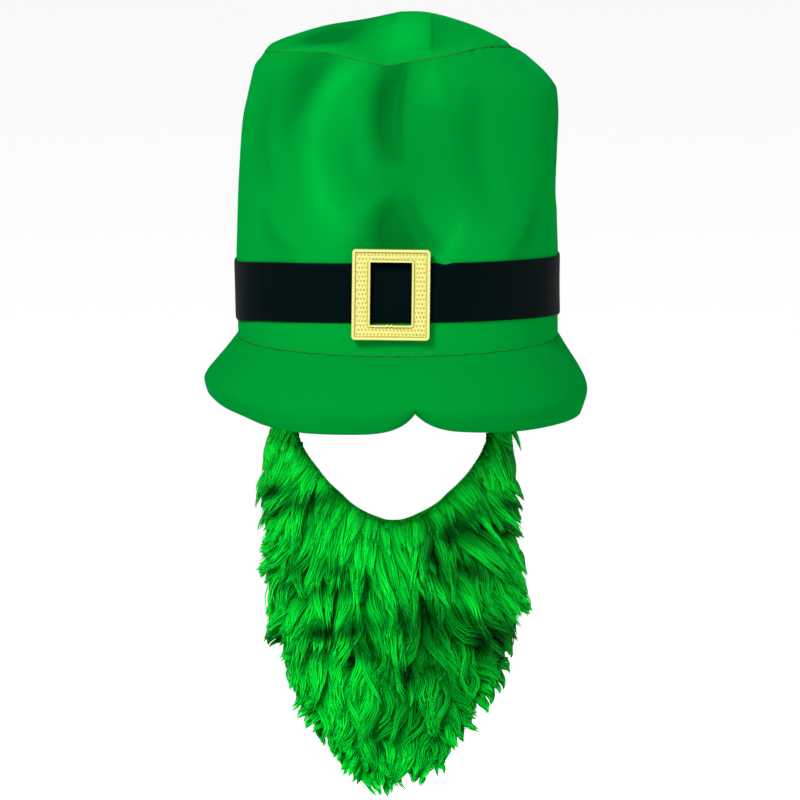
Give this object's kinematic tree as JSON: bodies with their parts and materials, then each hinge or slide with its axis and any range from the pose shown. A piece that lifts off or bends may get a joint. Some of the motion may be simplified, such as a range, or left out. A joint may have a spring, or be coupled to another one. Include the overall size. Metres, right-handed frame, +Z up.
{
  "type": "leprechaun costume hat with a beard",
  "caption": "Soft green stovepipe costume hat with a drooping notched brim, black ribbon band, square gold buckle and a long shaggy green beard.",
  "frame": {"origin": "middle of the head opening, level with the brim seam at the hat's sides, where a head holds the hat", "axes": "+Z up the crown, -Y towards the front with the buckle and the beard, +X to the right of someone who looks at the front"},
  "size_m": [0.2517, 0.2307, 0.4992],
  "materials": {
    "green_cloth": "smooth satin-like polyester",
    "black_ribbon": "satin ribbon",
    "gold_plastic": "vacuum-plated gold, moulded pattern",
    "green_fur": "long-pile imitation fur"
  },
  "bodies": {
    "root": {"crown_wall": "green_cloth", "crown_tip": "green_cloth", "brim": "green_cloth", "hat_band": "black_ribbon", "buckle": "gold_plastic", "beard": "green_fur"}
  },
  "joints": []
}
